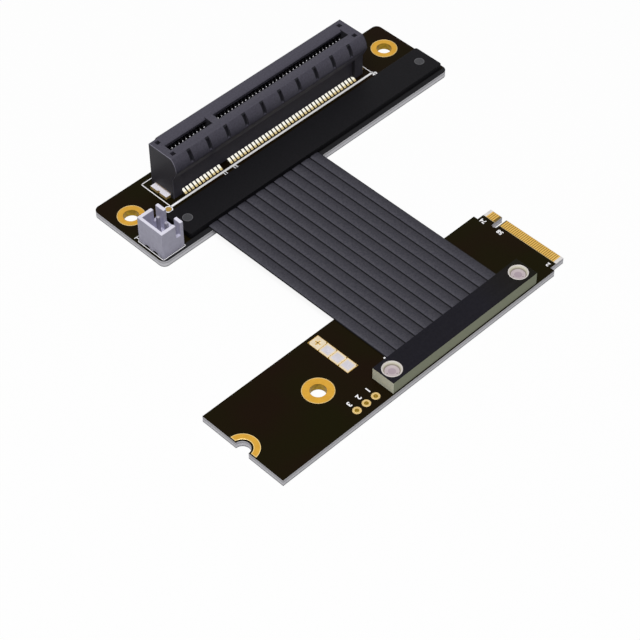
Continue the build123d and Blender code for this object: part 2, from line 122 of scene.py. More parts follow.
# %% Route of a strip
strip_count = 12
strip_low, strip_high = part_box("ribbon_01")
board_top = strip_low.z
strip_width, strip_length, strip_height = strip_high - strip_low
strip_crown, strip_edge, strip_gap = 0.15 * MM, 0.08 * MM, 0.008 * MM
route_shares = (0.0, 0.3, 0.7, 1.0)
route = bpy.data.curves.new("strip route", "CURVE")
route.dimensions = "3D"
route_line = route.splines.new("NURBS")
route_line.points.add(len(route_shares) - 1)
for point, share in zip(route_line.points, route_shares):
    point.co = (0, strip_low.y + share * strip_length, board_top + strip_height / 2, 1)
route_line.order_u = 3
route_line.use_endpoint_u = True
route_object = bpy.data.objects.new("strip route", route)
route_mesh = bpy.data.meshes.new_from_object(route_object)
strip_path = np.array([v.co for v in route_mesh.vertices])
bpy.data.objects.remove(route_object)
print("strip route:", len(strip_path), "points,", round(strip_length / MM, 2), "mm")


# %% Outline of a strip
def strip_outline(half_width, height, edge, crown, count=15):
    """Flat oval: x is the half width times the sine of an even turn, and z is half the height, less a
    rounded edge. The upper half is raised by the crown, which falls off with the square of the distance
    from the middle."""
    turn = np.linspace(-np.pi / 2, np.pi / 2, count)
    x = half_width * np.sin(turn)
    past = np.clip(np.abs(x) - (half_width - edge), 0, edge)
    fall = edge - np.sqrt(edge**2 - past**2)
    low = np.stack([x, -height / 2 + fall], axis=1)
    high = np.stack([x, height / 2 - crown - fall + crown * (1 - (x / half_width) ** 2)], axis=1)
    return np.concatenate([low, high[::-1]])


next_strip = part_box("ribbon_02")[0]
shown_width = abs(next_strip.x - strip_low.x) - strip_gap
outline = strip_outline(shown_width / 2, strip_height, strip_edge, strip_crown)
print("outline of a strip:", len(outline), "points,", round(shown_width / MM, 3), "mm wide")

# %% The twelve strips
strips = []
for number in range(1, strip_count + 1):
    low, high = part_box(f"ribbon_{number:02d}")
    middle = (low.x + high.x) / 2
    points = np.zeros((len(strip_path), len(outline), 3))
    points[..., 0] = middle + outline[:, 0]
    points[..., 1] = strip_path[:, 1, None]
    points[..., 2] = strip_path[:, 2, None] + outline[:, 1]
    faces = [list(f) for f in grid_faces(len(strip_path), len(outline), round_columns=True)]
    last = (len(strip_path) - 1) * len(outline)
    faces += [list(range(len(outline))), list(range(last, last + len(outline)))]
    strip = add_piece(f"strip_{number:02d}", points, faces)
    strip.data.shade_smooth()
    across = strip.data.attributes.new("across", "FLOAT", "POINT")
    across.data.foreach_set("value", ((points[..., 0] - low.x) / (high.x - low.x)).ravel())
    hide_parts(f"ribbon_{number:02d}")
    strips.append(strip)
print("strips:", len(strips))

# %% [markdown]
# ## Light and floor
# A plain studio: one large soft lamp almost overhead, a little to the left and in front, an even pale
# surround and a table. Most of the light comes from above, so upright faces render at about two fifths of
# what level faces do, as in the photograph. The table and the surround look white to the camera, and in
# reflections, through the Light Path node, so the lamp can stay low enough that a colour renders about as
# it is written.

# %% One function that adds a node
def add_node(tree, kind, links=None, **settings):
    """Adds a node, sets its properties by name, and sets or links its inputs from a dictionary."""
    node = tree.nodes.new(kind)
    for key, value in settings.items():
        setattr(node, key, value)
    for key, value in (links or {}).items():
        socket = node.inputs[key]
        if isinstance(value, bpy.types.NodeSocket):
            tree.links.new(value, socket)
        else:
            socket.default_value = value
    return node


def maths(tree, operation, *values, clamp=False):
    """One Math node on numbers or sockets, and the socket of its result."""
    return add_node(tree, "ShaderNodeMath", dict(enumerate(values)), operation=operation,
                    use_clamp=clamp).outputs[0]


def colour(hex_value):
    """An sRGB hex value as linear red, green, blue and 1, by the sRGB curve."""
    parts = np.array([int(hex_value[i:i + 2], 16) for i in (1, 3, 5)]) / 255
    linear = np.where(parts <= 0.04045, parts / 12.92, ((parts + 0.055) / 1.055) ** 2.4)
    return (*linear.tolist(), 1.0)


def seen_rays(tree):
    """1 for a ray that shows the background directly, in a reflection or through glass, and 0 for light."""
    path = add_node(tree, "ShaderNodeLightPath").outputs
    both = maths(tree, "ADD", path["Is Camera Ray"], path["Is Glossy Ray"])
    return maths(tree, "ADD", both, path["Is Transmission Ray"], clamp=True)


# %% Surround
world = bpy.data.worlds.new("studio")
world.use_nodes = True
bpy.context.scene.world = world
tree = world.node_tree
tree.nodes.clear()
surround_light = 0.2
strength = add_node(tree, "ShaderNodeMapRange", {
    "Value": seen_rays(tree), "To Min": surround_light, "To Max": 1.0}).outputs[0]
surround = add_node(tree, "ShaderNodeBackground", {"Color": colour("#ffffff"), "Strength": strength})
add_node(tree, "ShaderNodeOutputWorld", {"Surface": surround.outputs[0]})
bpy.context.scene.view_settings.view_transform = "Standard"
print("surround lights the object at", surround_light, "and shows as 1")

# %% Lamp
lamp = bpy.data.objects.new("soft lamp", bpy.data.lights.new("soft lamp", "AREA"))
lamp.data.shape = "SQUARE"
lamp.data.size = 0.5
lamp.data.energy = 5.8
lamp.location = (-0.15, -0.1, 0.83)
lamp.rotation_mode = "QUATERNION"
lamp.rotation_quaternion = (-lamp.location).to_track_quat("-Z", "Y")
bpy.context.scene.collection.objects.link(lamp)
print("lamp is", round(lamp.location.length, 2), "m away")

# %% Table
table_half, table_height = 1.5, -0.05 * MM
glow_share, glow_strength = 0.8, 1.13
table = bpy.data.objects.new("table", bpy.data.meshes.new("table"))
table.data.from_pydata(
    [(x * table_half, y * table_half, table_height) for x, y in ((-1, -1), (1, -1), (1, 1), (-1, 1))],
    [], [(0, 1, 2, 3)],
)
bpy.context.scene.collection.objects.link(table)
white_table = bpy.data.materials.new("pale_table")
white_table.use_nodes = True
tree = white_table.node_tree
tree.nodes.clear()
share = maths(tree, "MULTIPLY", seen_rays(tree), glow_share)
matte = add_node(tree, "ShaderNodeBsdfDiffuse", {"Color": colour("#b4b4b4")})
glow = add_node(tree, "ShaderNodeEmission", {"Color": colour("#ffffff"), "Strength": glow_strength})
both = add_node(tree, "ShaderNodeMixShader", {0: share, 1: matte.outputs[0], 2: glow.outputs[0]})
add_node(tree, "ShaderNodeOutputMaterial", {"Surface": both.outputs[0]})
table.data.materials.append(white_table)
print("table is", 2 * table_half, "m wide")

# %% [markdown]
# ## How a finish is built
# Each finish starts from a Principled shader with typical values for the real material. Patterns read
# Object coordinates, which are metres here, so a pattern's scale is one over its real size. Where a piece
# shows several surfaces, such as a board's mask, its sawn edge and its bare tongue, a place function
# gives 1 inside the surface and 0 outside, and that mixes the next colour over the last.

# %% Start a finish
def new_finish(name, roughness, metallic=0.0, specular=0.5):
    """A material with one Principled shader; plain numbers go on the shader's own sockets."""
    finish = bpy.data.materials.new(name)
    finish.use_nodes = True
    tree = finish.node_tree
    shader = tree.nodes["Principled BSDF"]
    shader.inputs["Roughness"].default_value = roughness
    shader.inputs["Metallic"].default_value = metallic
    shader.inputs["Specular IOR Level"].default_value = specular
    print("finish:", name)
    place = add_node(tree, "ShaderNodeTexCoord").outputs["Object"]
    return finish, tree, shader, place


def parts(tree, vector):
    """The x, y and z of a place or a direction."""
    return add_node(tree, "ShaderNodeSeparateXYZ", {0: vector}).outputs


def part_way(tree, value, low, high):
    """0 where a value is low or less, 1 where it is high or more, and an even run between."""
    return add_node(tree, "ShaderNodeMapRange", {
        "Value": value, "From Min": low, "From Max": high}).outputs[0]


def over(tree, share, below, top):
    """One colour over another by a share from 0 to 1; a hex value or a socket may be given for either."""
    below, top = (colour(c) if isinstance(c, str) else c for c in (below, top))
    return add_node(tree, "ShaderNodeMix", {0: share, 6: below, 7: top}, data_type="RGBA").outputs[2]


def grain(tree, shader, place, size, light, dark, bump=0.0, detail=3.0):
    """Two close colours mixed by the middle of a noise's range, at the given grain size. The same noise
    lifts the surface by the bump."""
    noise = add_node(tree, "ShaderNodeTexNoise", {
        "Vector": place, "Scale": 1 / size, "Detail": detail}).outputs[0]
    mixed = over(tree, part_way(tree, noise, 0.35, 0.65), dark, light)
    if bump:
        lift = add_node(tree, "ShaderNodeBump", {"Height": noise, "Strength": 0.5, "Distance": bump})
        tree.links.new(lift.outputs[0], shader.inputs["Normal"])
    return mixed


def grained_finish(name, roughness, size, light, dark, bump=0.0, detail=3.0, **settings):
    """A finish with one surface only, coloured by its grain."""
    finish, tree, shader, place = new_finish(name, roughness, **settings)
    tree.links.new(grain(tree, shader, place, size, light, dark, bump, detail), shader.inputs["Base Color"])
    return finish


# %% Shares by place
def between(tree, value, low, high):
    """1 where a value lies between low and high, and 0 elsewhere."""
    return maths(tree, "COMPARE", value, (low + high) / 2, (high - low) / 2)


def greater(tree, value, limit):
    """1 where the first of two values is the greater, and 0 elsewhere."""
    return maths(tree, "GREATER_THAN", value, limit)


def times(tree, first, *others):
    """The product of two or more shares, which is 1 only where all of them are."""
    for other in others:
        first = maths(tree, "MULTIPLY", first, other)
    return first


def in_circles(tree, place, centres, radius):
    """1 within the radius of any of the centres, measured level, and 0 elsewhere."""
    split = parts(tree, place)
    flat = add_node(tree, "ShaderNodeCombineXYZ", {0: split[0], 1: split[1]}).outputs[0]
    total = 0.0
    for x, y in centres:
        away = add_node(tree, "ShaderNodeVectorMath", {0: flat, 1: (x, y, 0)}, operation="DISTANCE")
        total = maths(tree, "ADD", total, greater(tree, radius, away.outputs["Value"]), clamp=True)
    return total


def colour_run(tree, value, stops):
    """A colour ramp through stops of (place from 0 to 1, hex value)."""
    ramp = add_node(tree, "ShaderNodeValToRGB", {0: value})
    while len(ramp.color_ramp.elements) < len(stops):
        ramp.color_ramp.elements.new(0.5)
    for element, (stop, hex_value) in zip(ramp.color_ramp.elements, stops):
        element.position = stop
        element.color = colour(hex_value)
    return ramp.outputs[0]


def facing(tree):
    """The x, y and z parts of the direction that a face looks in."""
    return parts(tree, add_node(tree, "ShaderNodeNewGeometry").outputs["True Normal"])


def level_face(tree, least=0.7):
    """1 on faces that look up or down, and 0 on upright ones."""
    return greater(tree, maths(tree, "ABSOLUTE", facing(tree)[2]), least)


# %% [markdown]
# ## Strip jackets
# The jacket is extruded PVC over foil, dark grey with a soft sheen and a fine grain, drawn a few times
# coarser than it is so that it shows. Its two edges are painted near black, as painted shade in the gaps
# between the strips, and its top is painted lighter near the -x edge and darker towards the +x edge, as
# painted light falling from the -x side. The colour follows the "across" value that each strip's mesh
# carries, so it keeps to the strip wherever it goes.

# %% Strip jacket finish
strip_jacket, tree, shader, place = new_finish("pvc_strip_jacket_with_painted_shade", 0.5, specular=0.1)
across = add_node(tree, "ShaderNodeAttribute", attribute_name="across").outputs["Fac"]
# Painted shade at both edges, and painted light that makes the top lighter towards its -x edge.
jacket = colour_run(tree, across, [
    (0.0, "#0c0c10"), (0.035, "#17171b"), (0.09, "#504f57"), (0.35, "#46454c"),
    (0.7, "#3d3c43"), (0.93, "#38373e"), (0.975, "#17171b"), (1.0, "#0c0c10"),
])
speckle = grain(tree, shader, place, 0.35 * MM, "#ffffff", "#d9d9de", 0.012 * MM)
mixed = add_node(tree, "ShaderNodeMix", {0: 1.0, 6: jacket, 7: speckle},
                 data_type="RGBA", blend_type="MULTIPLY")
tree.links.new(mixed.outputs[2], shader.inputs["Base Color"])
for strip in strips:
    strip.data.materials.append(strip_jacket)

# %% [markdown]
# ## Boards
# Both boards are glass-fibre laminate under black solder mask. The mask is thin, so the sawn edge shows
# the pale laminate, with a darker layer above the middle and another at the foot, and the tongue's faces
# are bare around the fingers. A strip of the slot board in front of the cover is painted lighter, as
# painted light. One finish draws all of that by height and place, and both boards share it.

# %% Places on the boards
m2_low, m2_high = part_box("m2_board")
slot_low, slot_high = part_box("slot_board")
m2_middle = (m2_low.y + m2_high.y) / 2
fingers_low, fingers_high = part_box("m2_fingers_top")
hole_low, hole_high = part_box("m2_hole_ring")
m2_hole = ((hole_low.x + hole_high.x) / 2, m2_middle)
ring_low, ring_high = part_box("slot_board_rings")
board_ring = (ring_high.y - ring_low.y) / 2
board_holes = [(ring_low.x + board_ring, (ring_low.y + ring_high.y) / 2),
               (ring_high.x - board_ring, (ring_low.y + ring_high.y) / 2)]
small_low, small_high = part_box("m2_small_rings")
small_ring = (small_high.y - small_low.y) / 2
small_holes = [(small_low.x + small_ring + share * (small_high.x - small_low.x - 2 * small_ring),
                (small_low.y + small_high.y) / 2) for share in (0, 0.5, 1)]
m2_bore, board_bore, small_bore = 1.7 * MM, 1.7 * MM, 0.5 * MM
print("screw holes in mm:", [[round(v / MM, 2) for v in hole] for hole in (m2_hole, *board_holes)])

# %% Board finish
mask, tree, shader, place = new_finish("black_solder_mask_on_glass_laminate", 0.4, specular=0.02)
split = parts(tree, place)
warm = grain(tree, shader, place, 14 * MM, "#181505", "#1b1108", detail=1.0)
cover_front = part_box("cover_plate")[0].y
# Painted light: the strip of board in front of the cover is drawn lighter than the mask.
painted_light_front = between(tree, split[1], slot_low.y - MM, cover_front)
top_side = over(tree, painted_light_front, warm, "#28282a")
sawn = colour_run(tree, part_way(tree, split[2], m2_low.z, m2_high.z), [
    (0.0, "#a6a6aa"), (0.13, "#b2b2b6"), (0.19, "#f2f1f6"), (0.3, "#fbfaff"), (0.46, "#fbfaff"),
    (0.58, "#e4e3e8"), (0.66, "#d2d1d6"), (0.8, "#d4d3d8"), (0.86, "#f2f1f6"), (0.95, "#f2f1f6"),
    (0.98, "#6a6a6d"), (1.0, "#242424"),
])
bare_margin, line_margin, line_width = 0.12 * MM, 0.02 * MM, 0.3 * MM
bare_tongue = times(tree, between(tree, split[0], fingers_low.x - bare_margin, m2_high.x + MM),
                    between(tree, split[1], m2_low.y - MM, m2_high.y + MM))
laminate = grain(tree, shader, place, 0.5 * MM, "#e9e6e4", "#dcd8d4", detail=2.0)
between_fingers = times(
    tree, between(tree, split[0], fingers_low.x - line_margin, fingers_high.x),
    between(tree, split[1], fingers_low.y, fingers_high.y),
)
beside_mask = times(
    tree, between(tree, split[0], fingers_low.x - line_width, fingers_low.x - line_margin),
    between(tree, split[1], fingers_low.y - line_width, fingers_high.y + line_width),
)
tongue = over(tree, beside_mask, over(tree, between_fingers, laminate, "#7d6838"), "#e0cb9a")
flat = over(tree, bare_tongue, top_side, tongue)
tree.links.new(over(tree, level_face(tree), sawn, flat), shader.inputs["Base Color"])

# %% [markdown]
# ## Gold and tin
# The pads are copper with a gold flash over nickel: a warm metal, smooth but not a mirror. A plated ring
# is a little rounded at its rim, and the plating goes on down the hole and out onto the other face. The
# CAD model has the ring as a flat disc, so a lining piece adds the barrel and the ring below, and a fine
# bead adds the rounded rim, whose paler gold is a painted reflection.

# %% Gold finishes
# Gold flash: a warm metal with a soft, wide highlight.
gold = grained_finish("gold_flash_over_nickel", 0.35, 1.2 * MM, "#d2a13d", "#cb9938", metallic=1.0)
# Hard gold on the fingers: paler, because it is alloyed and rubbed.
finger_gold = grained_finish("hard_gold_on_contact_fingers", 0.35, 1.2 * MM, "#dfb560", "#d8ad56",
                             metallic=1.0)
# The barrel of a drilled hole: rough plating, painted a darker gold as painted shade deep in the hole.
barrel_gold = grained_finish("gold_flash_inside_a_drilled_hole", 0.45, 0.6 * MM, "#b08e1e", "#8c6d12",
                             metallic=0.75)
# Inside a small hole: a light gold, painted lighter as painted light against the shade of the hole.
small_barrel = grained_finish("gold_inside_a_small_hole", 0.5, 0.4 * MM, "#ecd25c", "#dabe46", metallic=0.2)
# Gold on small pads: thin and dull, so only partly a metal to the eye.
small_gold = grained_finish("gold_on_a_small_pad", 0.45, 0.5 * MM, "#d2ac58", "#c59d48", metallic=0.4)
# Small rings and the rims of large ones: painted a pale gold, as a painted reflection of the pale surround.
painted_reflection_gold = grained_finish("gold_with_a_painted_pale_reflection", 0.45, 0.5 * MM, "#e0c383", "#d8b974", metallic=0.2)

# %% Pin and wire finishes
# Tin on the pins: grey, and dull from handling. Wire: bare drawn copper.
pin_tin = grained_finish("dull_tinned_pin", 0.4, 0.5 * MM, "#b4b1be", "#a19eac", metallic=0.4)
wire_copper = grained_finish("bare_copper_wire", 0.4, 0.5 * MM, "#d08a5c", "#b8744a", metallic=1.0)


# %% Turned shapes
def turned(name, profile, centres, finish, sides=48):
    """A profile of (radius, height) carried round each centre: x and y are the centre plus the radius times
    the cosine and sine of the turn, and z is the height. A profile that starts on the axis ends there, and
    any other closes."""
    profile = np.asarray(profile)
    turn = np.linspace(0, 2 * np.pi, sides, endpoint=False)
    ring = np.zeros((len(turn), len(profile), 3))
    ring[..., 0] = np.cos(turn)[:, None] * profile[:, 0]
    ring[..., 1] = np.sin(turn)[:, None] * profile[:, 0]
    ring[..., 2] = profile[:, 1]
    one = ring.reshape(-1, 3)
    points = np.concatenate([one + np.array([x, y, 0]) for x, y in centres])
    face = grid_faces(len(turn), len(profile), round_rows=True, round_columns=profile[0, 0] > 0)
    faces = np.concatenate([face + i * len(one) for i in range(len(centres))])
    piece = add_piece(name, points, faces)
    piece.data.materials.append(finish)
    piece.data.shade_smooth()
    piece.data.set_sharp_from_angle(angle=math.radians(35))
    return piece


# %% Linings and rims
def lining_profile(bore, ring):
    """A thin wall inside the bore, bent outwards below into a ring on the lower face."""
    skin, thin, inner_drop, outer_drop = 0.03 * MM, 0.02 * MM, 0.004 * MM, 0.06 * MM
    foot, lip = m2_low.z - thin, m2_low.z + thin
    return [(bore - skin, m2_high.z - inner_drop), (bore - skin, foot), (ring, foot),
            (ring, lip), (bore + skin, lip), (bore + skin, m2_high.z - outer_drop)]


def rim_profile(radius, thick):
    """A half-round bead just inside the radius, standing on the upper face."""
    angle = np.linspace(0, np.pi, 7)
    half, rise, top = thick / 2, 0.35 * thick, m2_high.z - 0.005 * MM
    return np.stack([radius - half + half * np.cos(angle), top + rise * np.sin(angle)], axis=1)


m2_ring, rim_thick, small_rim_thick = (hole_high.y - hole_low.y) / 2, 0.16 * MM, 0.14 * MM
small_lining = lining_profile(small_bore * 0.97, small_ring * 0.9)
turned("board_hole_linings", lining_profile(board_bore, board_ring), board_holes, barrel_gold)
turned("plug_hole_lining", lining_profile(m2_bore, m2_ring), [m2_hole], barrel_gold)
turned("small_hole_linings", small_lining, small_holes, small_barrel, sides=24)
turned("board_ring_rims", rim_profile(board_ring, rim_thick), board_holes, painted_reflection_gold)
turned("plug_ring_rim", rim_profile(m2_ring, rim_thick), [m2_hole], painted_reflection_gold)
turned("small_ring_rims", rim_profile(small_ring, small_rim_thick), small_holes, painted_reflection_gold,
       sides=32)

# %% [markdown]
# ## Half ring at the notch
# The notch in the plug board's far end has half a ring of gold around it, with a little black mask left
# between it and the sawn edge. Its outline is a ring's profile turned only as far as a straight cut.

# %% Half ring
half_outer, half_inner, half_cut, border = 3.5 * MM, 2.15 * MM, 0.25 * MM, 0.13 * MM


def half_ring(name, profile, cut, finish, count=40):
    """A profile of (radius, height) turned about the notch's middle. At each radius the turn stops where
    the radius times its cosine is the cut, so both ends are straight."""
    profile = np.asarray(profile)
    turn = np.linspace(-1, 1, count)[:, None] * np.arccos(cut / profile[:, 0])
    points = np.stack([m2_low.x + profile[:, 0] * np.cos(turn), m2_middle + profile[:, 0] * np.sin(turn),
                       np.broadcast_to(profile[:, 1], turn.shape)], axis=-1)
    faces = [list(f) for f in grid_faces(count, len(profile), round_columns=True)]
    last = (count - 1) * len(profile)
    faces += [list(range(len(profile))), list(range(last, last + len(profile)))]
    piece = add_piece(name, points, faces)
    piece.data.materials.append(finish)
    return piece


# The same gold flash, painted pale along its rounded border as a painted highlight.
half_gold, tree, shader, place = new_finish("gold_flash_with_a_painted_highlight_border", 0.35, metallic=0.9)
notch = [(m2_low.x, m2_middle)]
past_inner = maths(tree, "SUBTRACT", 1.0, in_circles(tree, place, notch, half_inner + border))
past_cut = greater(tree, parts(tree, place)[0], m2_low.x + half_cut + border)
core = times(tree, in_circles(tree, place, notch, half_outer - border), past_inner, past_cut)
tree.links.new(over(tree, core, "#eccf8c", grain(tree, shader, place, 1.2 * MM, "#d2a13d", "#cb9938")),
               shader.inputs["Base Color"])
half_foot, half_top = m2_high.z - 0.04 * MM, m2_high.z + 0.015 * MM
half_side, half_bevel = half_top - 0.01 * MM, 0.03 * MM
half_piece = half_ring("plug_half_ring", [
    (half_inner, half_foot), (half_outer, half_foot), (half_outer, half_side),
    (half_outer - half_bevel, half_top), (half_inner + half_bevel, half_top), (half_inner, half_side),
], half_cut, half_gold)
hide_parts("m2_end_ring")

# %% [markdown]
# ## Moulded and sawn blocks
# The slot housing, the header, the cover and the clamp bar are all blocks with slightly worn corners. A
# perfectly sharp edge gives no highlight, so each block is a copy of its CAD solid: the loose triangles
# are merged, flat areas are made one face again, and a Bevel modifier takes just under a tenth of a
# millimetre off every corner. The shape stays the CAD model's own.

# %% A copy of a CAD solid with softened corners
def softened(node_name, name, finish, width, angle=35):
    """A copy of a CAD node with its triangles merged, flat areas dissolved and sharp corners bevelled."""
    shape = bmesh.new()
    shape.from_mesh(nodes[node_name].data)
    bmesh.ops.remove_doubles(shape, verts=shape.verts, dist=0.0005 * MM)
    bmesh.ops.dissolve_limit(shape, angle_limit=math.radians(1), verts=shape.verts, edges=shape.edges)
    mesh = bpy.data.meshes.new(name)
    shape.to_mesh(mesh)
    shape.free()
    piece = bpy.data.objects.new(name, mesh)
    bpy.context.scene.collection.objects.link(piece)
    mesh.shade_smooth()
    mesh.set_sharp_from_angle(angle=math.radians(angle))
    bevel = piece.modifiers.new("softened corners", "BEVEL")
    bevel.width = width
    bevel.segments = 2
    bevel.limit_method = "ANGLE"
    bevel.angle_limit = math.radians(angle)
    bevel.harden_normals = True
    mesh.materials.append(finish)
    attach(piece, "root")
    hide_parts(node_name)
    print(name, "has", len(mesh.polygons), "faces before its bevel")
    return piece


# %% Places on the slot housing
housing_low, housing_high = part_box("slot_housing")
slot_from_front = 15.8 * MM
slot_middle = slot_low.y + slot_from_front
groove_pitch, groove_width, groove_first = 5.17 * MM, 1.0 * MM, 4.65 * MM
groove_low = slot_high.z + 8.55 * MM
top_half_near, top_half_far, highlight_width = 3.45 * MM, 3.7 * MM, 0.17 * MM
print("slot housing is", round((housing_high.x - housing_low.x) / MM, 2), "mm long")

# %% Slot housing finish
# Glass-filled nylon, moulded: near black, matt, with a fine grain from the mould.
slot_nylon, tree, shader, place = new_finish("glass_filled_slot_nylon", 0.5, specular=0.15)
split = parts(tree, place)
# The grooves are painted darker than the shoulder, as painted shade in the recesses.
along = maths(tree, "SUBTRACT", split[0], housing_low.x + groove_first - groove_width / 2)
along = maths(tree, "FRACT", maths(tree, "DIVIDE", along, groove_pitch))
in_groove = greater(tree, groove_width / groove_pitch, along)
on_top = between(tree, split[1], slot_middle - top_half_near, slot_middle + top_half_far)
on_shoulder = maths(tree, "SUBTRACT", 1.0, on_top)
high_up = part_way(tree, split[2], groove_low - 0.3 * MM, groove_low + 0.2 * MM)
moulded = grain(tree, shader, place, 0.4 * MM, "#4b4954", "#43414b", 0.01 * MM)
# Painted shade: where the grooves get the darker colour.
groove_painted_shade = times(tree, in_groove, on_shoulder, high_up)
with_groove_shade = over(tree, groove_painted_shade, moulded, "#1c1c22")
# The two end faces are painted darker, as painted shade, and a thin line beside the front end's edge is
# painted pale, as a painted highlight.
sideways = maths(tree, "ABSOLUTE", facing(tree)[0])
beside_end, shaded_end_face = greater(tree, 0.9, sideways), greater(tree, sideways, 0.95)
corner_line = times(tree, beside_end,
                    between(tree, split[0], housing_low.x - MM, housing_low.x + highlight_width))
with_edge_highlight = over(tree, corner_line, with_groove_shade, "#7a7884")
tree.links.new(over(tree, shaded_end_face, with_edge_highlight, "#36353b"), shader.inputs["Base Color"])
softened("slot_housing", "slot_shell", slot_nylon, 0.09 * MM, angle=50)

# %% Power header
# Natural nylon, moulded without pigment: pale and a little violet. The top and a thin band below it are
# painted lighter than the walls, as painted light on the faces that look up.
header_nylon, tree, shader, place = new_finish("natural_header_nylon", 0.45, specular=0.3)
wall_nylon = grain(tree, shader, place, 0.9 * MM, "#c7c5d8", "#bfbdd0")
header_top, rim_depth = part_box("header_housing")[1].z, 0.12 * MM
# Painted light: the top gets the lighter colour.
painted_lit_top = greater(tree, parts(tree, place)[2], header_top - rim_depth)
tree.links.new(over(tree, painted_lit_top, wall_nylon, "#e4e2f0"), shader.inputs["Base Color"])
softened("header_housing", "header_shell", header_nylon, 0.09 * MM)

# %% Cover and its studs
# The cover is sheet laminate dyed black all through, and the studs are dark grey nylon whose rim and sides
# are painted lighter, as a painted highlight.
cover_black = grained_finish("black_cover_laminate", 0.5, 0.4 * MM, "#19181b", "#151517", 0.008 * MM,
                             specular=0.05)
softened("cover_plate", "cover_sheet", cover_black, 0.08 * MM)
stud_nylon, tree, shader, place = new_finish("dark_stud_nylon", 0.5, specular=0.2)
stud_low, stud_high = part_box("cover_studs")
stud_radius = (stud_high.y - stud_low.y) / 2
highlight_inner_radius = stud_radius * 0.86
stud_row = (stud_low.y + stud_high.y) / 2
studs = [(stud_low.x + stud_radius, stud_row), (stud_high.x - stud_radius, stud_row)]
stud_face = grain(tree, shader, place, 0.3 * MM, "#454548", "#3b3b3e")
# Outside the inner radius each stud is painted lighter: a painted highlight on its rim.
tree.links.new(over(tree, in_circles(tree, place, studs, highlight_inner_radius), "#5a5a5d", stud_face),
               shader.inputs["Base Color"])

# %% [markdown]
# ## Clamp bar
# The bar is sawn from thick laminate: black mask on its upper face, and grey-green glass cloth on its
# sides. The short end is painted much paler than the long sides, as painted light on the end that faces
# the light. The cloth's layers lie level, a few tenths of a millimetre apart, so its pattern depends on
# height alone.

# %% Clamp bar finish
bar_laminate, tree, shader, place = new_finish("clamp_bar_glass_laminate", 0.55, specular=0.04)
split = parts(tree, place)
bar_low, bar_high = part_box("clamp_bar")
layer_pitch, mask_depth, end_depth, shade_start = 0.36 * MM, 0.05 * MM, 0.06 * MM, 4 * MM
wave = maths(tree, "SINE", maths(tree, "MULTIPLY", split[2], 2 * math.pi / layer_pitch))
layers = part_way(tree, wave, -1.0, 1.0)
long_side = over(tree, layers, "#a1a58d", "#a8ac95")
# Painted light: the short end's cloth is much paler than the long side's.
painted_lit_end = over(tree, layers, "#f8f8e0", "#fcfce8")
cloth = over(tree, greater(tree, bar_low.x + end_depth, split[0]), long_side, painted_lit_end)
bar_top = grain(tree, shader, place, 0.5 * MM, "#1e1d23", "#1a191f")
bar_top = over(tree, part_way(tree, split[0], shade_start, bar_high.x), bar_top, "#191711")
above_cloth = greater(tree, split[2], bar_high.z - mask_depth)
tree.links.new(over(tree, above_cloth, cloth, bar_top), shader.inputs["Base Color"])
softened("clamp_bar", "clamp_block", bar_laminate, 0.06 * MM)

# %% [markdown]
# ## Rivets
# Two nylon push rivets hold the bar. Each head is a shallow cup: a flat rim, a sloping wall and a level
# floor where the pin sits. The nylon is creamy on the wall and pinker on the floor, so the colour follows
# the height inside the cup; the wall is also painted darker near its foot, as painted shade in the cup's
# crease. Two small darker marks on the floor are painted shade in the gaps where the pin's legs start.

# %% Rivet finish
# Natural nylon again, but thicker, so it looks milky and has a low shine.
rivet_low, rivet_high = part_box("clamp_rivets")
rivet_radius = (rivet_high.y - rivet_low.y) / 2
rivet_row = (rivet_low.y + rivet_high.y) / 2
rivets = [(rivet_low.x + rivet_radius, rivet_row), (rivet_high.x - rivet_radius, rivet_row)]
rivet_nylon, tree, shader, place = new_finish("rivet_nylon", 0.35, specular=0.35)
cup_depth = 0.75 * MM
cup = part_way(tree, parts(tree, place)[2], rivet_high.z - cup_depth, rivet_high.z)
# Painted shade: the dark band low on the cup's wall.
cream = colour_run(tree, cup, [
    (0.0, "#bdb0b4"), (0.04, "#bdb0b4"), (0.1, "#8a8279"), (0.22, "#968e81"), (0.42, "#cfcab8"),
    (0.65, "#eae9d6"), (1.0, "#e2dada"),
])
pin_end, mark_radius = 0.8 * MM, 0.13 * MM
mark_steps = np.array([(-1.05, 0.25), (0.3, -1.05)]) * MM
# Painted shade: dark spots for the gaps at the pin's legs.
leg_gap_shade = [(x + across, y + along) for x, y in rivets for across, along in mark_steps.tolist()]
floor_pink = over(tree, in_circles(tree, place, rivets, pin_end), cream, "#a999a2")
tree.links.new(over(tree, in_circles(tree, place, leg_gap_shade, mark_radius), floor_pink, "#8a7c80"),
               shader.inputs["Base Color"])

# %% Rivet heads and shanks
shank, dish = 1.2 * MM, 1.4 * MM
rim_width, head_height, soft = 0.14 * MM, 1.3 * MM, 0.05 * MM
head_top = rivet_high.z
head_low, floor, cup_edge = head_top - head_height, head_top - cup_depth, rivet_radius - rim_width
turned("push_rivets", [
    (0, rivet_low.z), (shank, rivet_low.z), (shank, head_low), (rivet_radius, head_low),
    (rivet_radius, head_top - 0.1 * MM), (rivet_radius - 0.03 * MM, head_top - 0.03 * MM),
    (rivet_radius - 0.1 * MM, head_top), (cup_edge + soft, head_top), (cup_edge - soft, head_top - soft),
    (dish + 0.3 * MM, head_top - 0.6 * cup_depth), (dish + 0.1 * MM, floor + 0.06 * MM),
    (dish, floor), (0, floor),
], rivets, rivet_nylon)
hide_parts("clamp_rivets")


# %% [markdown]
# ## Slot contacts
# Ninety-eight sprung contacts stand in two rows. Each is a strip of tinned alloy: a straight leg, a spring
# that bows into the slit, and a solder tail on the board. In the slit the springs are painted near black,
# as painted shade, and each touch point is painted white, as a painted highlight. Outside, solder climbs
# each tail in a slope that catches the sky, and the cut end is tan. One contact is a grid of points,
# section by section, and the rows are that grid at every place, all in one array.

